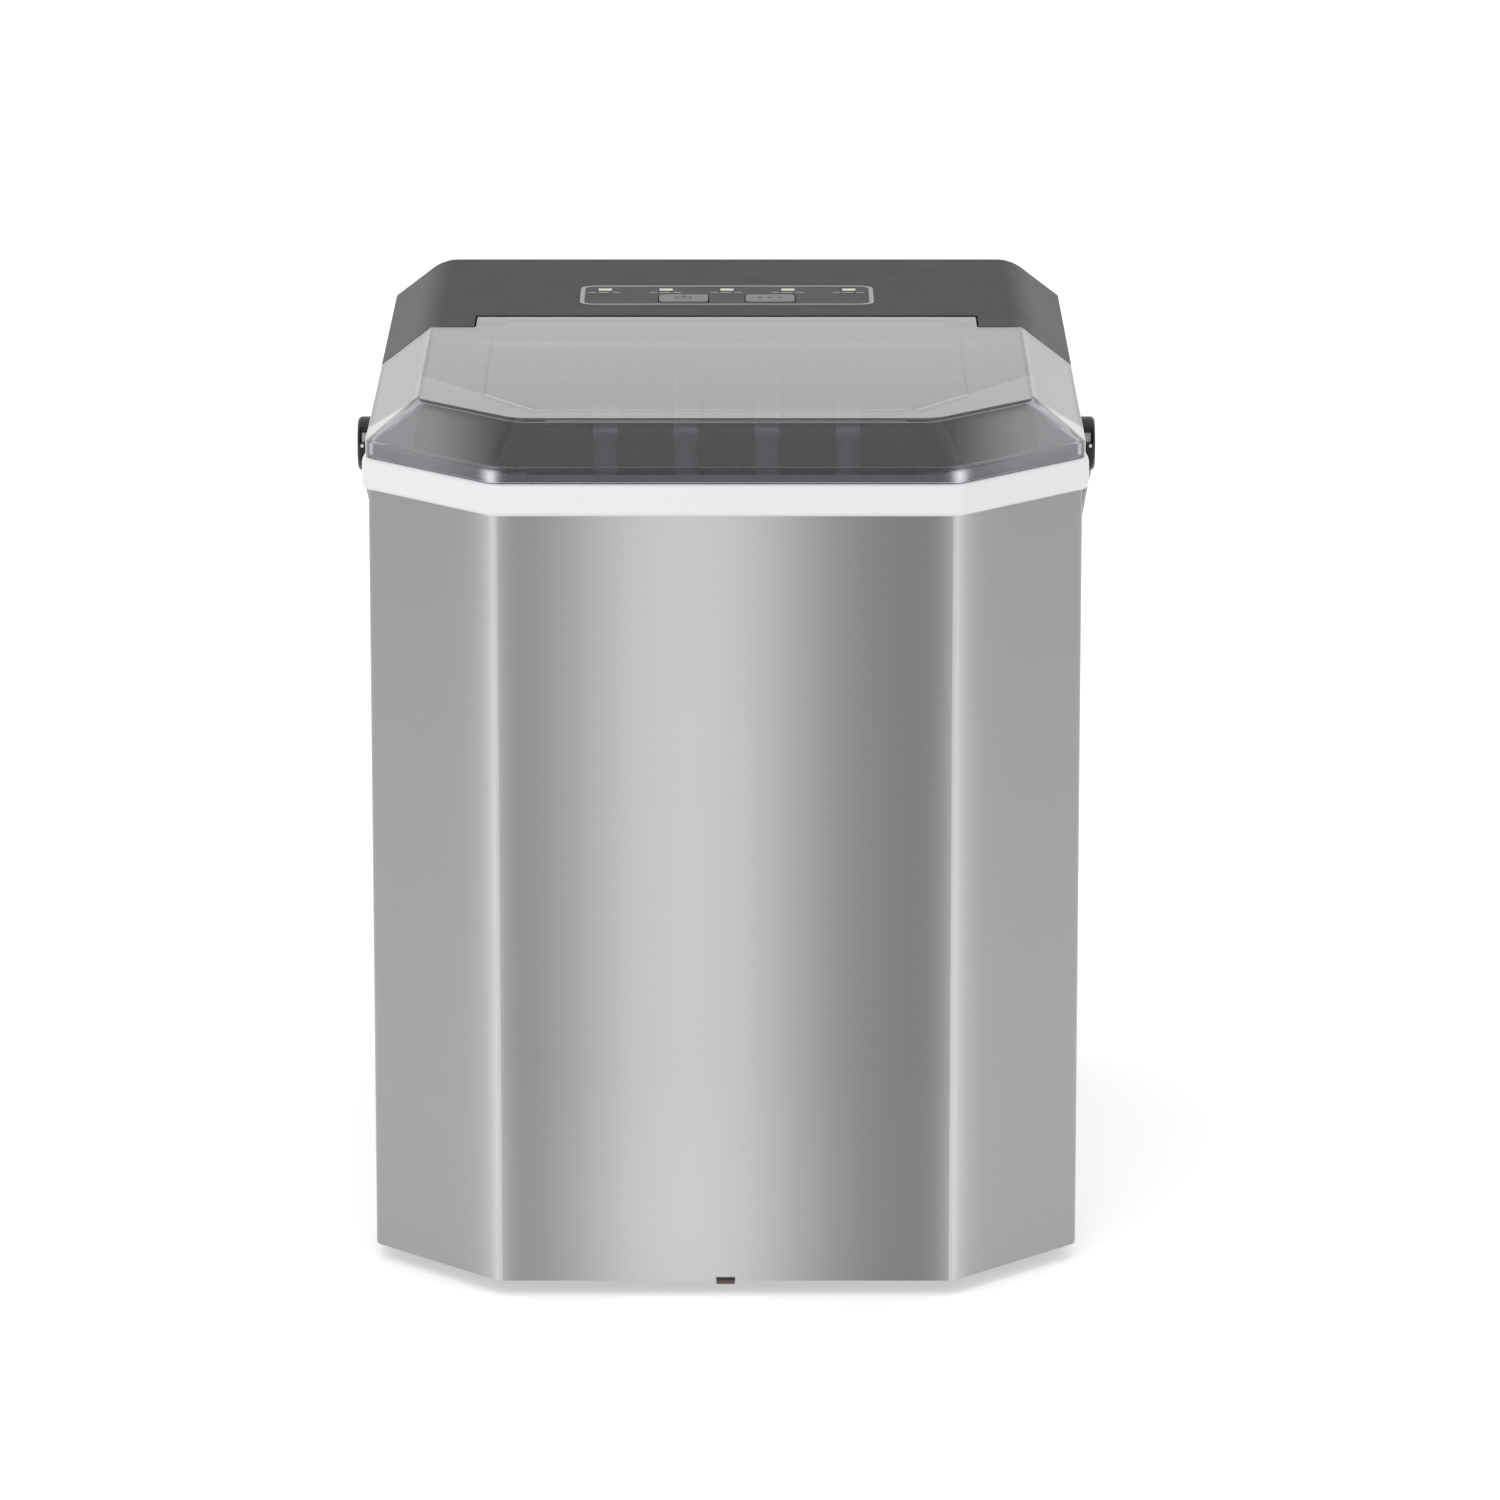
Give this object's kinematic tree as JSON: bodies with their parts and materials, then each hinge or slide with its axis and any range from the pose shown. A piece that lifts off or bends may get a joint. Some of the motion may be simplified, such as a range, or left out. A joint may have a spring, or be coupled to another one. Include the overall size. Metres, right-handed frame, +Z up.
{
  "type": "countertop ice maker",
  "caption": "Portable ice maker: steel-wrapped cabinet with chamfered front corners, smoke-clear hinged lid, rear control cover, bail handle, tipping water trough and lift-out ice basket.",
  "frame": {"origin": "middle of the bounding box's base, on the surface that the feet stand on", "axes": "+X to the right seen from the front, the front faces -Y, +Z up"},
  "size_m": [0.24, 0.3096, 0.2805],
  "materials": {
    "brushed_steel": "vertically lit brushed stainless, satin",
    "rear_steel": "satin galvanised sheet",
    "base_plastic": "fine moulded texture",
    "rubber": "matte rubber",
    "white_plastic": "smooth gloss white",
    "tub_plastic": "smooth dark grey",
    "foam": "open foam",
    "cover_plastic": "satin dark grey",
    "film": "smooth printed film",
    "light_lens": "cream diffuser",
    "button_plastic": "satin light grey",
    "circuit_board": "lacquered board",
    "smoke_clear": "smoke tinted clear plastic, polished",
    "bright_steel": "plated",
    "bracket_plastic": "satin light grey",
    "black_plastic": "fine satin black",
    "arm_plastic": "satin warm grey",
    "basket_plastic": "smooth translucent grey",
    "nickel": "satin nickel plate",
    "tray_plastic": "smooth dark grey",
    "hose_rubber": "milky silicone",
    "plug_rubber": "matte brown grey",
    "compressor_paint": "semi gloss black enamel",
    "fin_aluminium": "plain rolled",
    "fan_plastic": "moulded black",
    "copper": "bright drawn copper",
    "brass_valve": "machined"
  },
  "bodies": {
    "cabinet": {"base_plate": "base_plastic", "capillary_tube": "copper", "compressor": "compressor_paint", "compressor_mounts": "rubber", "condenser": "fin_aluminium", "control_board": "circuit_board", "control_film": "film", "cord_gland": "black_plastic", "discharge_pipe": "copper", "drain_fitting": "white_plastic", "drain_hose": "hose_rubber", "evaporator": "nickel", "fan_motor": "rear_steel", "fan_shroud": "base_plastic", "feet": "rubber", "filter_dryer": "copper", "handle_brackets": "bracket_plastic", "head_bridge": "bright_steel", "hot_gas_valve": "brass_valve", "ice_sensors": "black_plastic", "indicator_lights": "light_lens", "inner_tub": "tub_plastic", "insulation_foam": "foam", "level_float": "white_plastic", "main_board": "circuit_board", "outer_shell": "brushed_steel", "panel_screws": "bright_steel", "pivot_screws": "bright_steel", "pump_hose": "hose_rubber", "rear_cover": "cover_plastic", "rear_panel": "rear_steel", "suction_pipe": "copper", "top_rim": "white_plastic", "tray_bearing": "white_plastic", "tray_motor": "black_plastic", "water_pump": "black_plastic"},
    "lid": {"lid": "smoke_clear", "lid_hinge_pins": "bright_steel"},
    "handle": {"handle_hubs": "black_plastic", "handle_arms": "arm_plastic", "handle_grip": "black_plastic"},
    "power_key": {"power_button": "button_plastic"},
    "select_key": {"select_button": "button_plastic"},
    "tray": {"water_tray": "tray_plastic", "tray_shafts": "bright_steel", "ice_shovel": "tray_plastic"},
    "fan": {"fan_blade": "fan_plastic"},
    "plug": {"drain_plug": "plug_rubber"},
    "basket": {"ice_basket": "basket_plastic"}
  },
  "joints": [
    {"name": "lid_hinge", "type": "hinge", "parent": "cabinet", "child": "lid", "pos_m": [0, 0.02475, 0.2755], "axis": [-1, 0, 0], "range_deg": [0, 95]},
    {"name": "handle_swing", "type": "hinge", "parent": "cabinet", "child": "handle", "pos_m": [0, -0.00775, 0.245], "axis": [1, 0, 0], "range_deg": [0, 114]},
    {"name": "power_press", "type": "slide", "parent": "cabinet", "child": "power_key", "axis": [0, 0, -1], "range_m": [0, 0.001], "stiffness_N_per_m": 300, "springref_m": -0.0005},
    {"name": "select_press", "type": "slide", "parent": "cabinet", "child": "select_key", "axis": [0, 0, -1], "range_m": [0, 0.001], "stiffness_N_per_m": 300, "springref_m": -0.0005},
    {"name": "tray_tilt", "type": "hinge", "parent": "cabinet", "child": "tray", "pos_m": [0, 0.02925, 0.226], "axis": [1, 0, 0], "range_deg": [0, 75]},
    {"name": "fan_spin", "type": "hinge", "parent": "cabinet", "child": "fan", "pos_m": [0.072, 0.07925, 0.082], "axis": [1, 0, 0], "continuous": true},
    {"name": "plug_pull", "type": "slide", "parent": "cabinet", "child": "plug", "axis": [0, 0, -1], "range_m": [0, 0.012]},
    {"name": "basket_lift", "type": "slide", "parent": "cabinet", "child": "basket", "axis": [0, 0, 1], "range_m": [0, 0.06]}
  ]
}
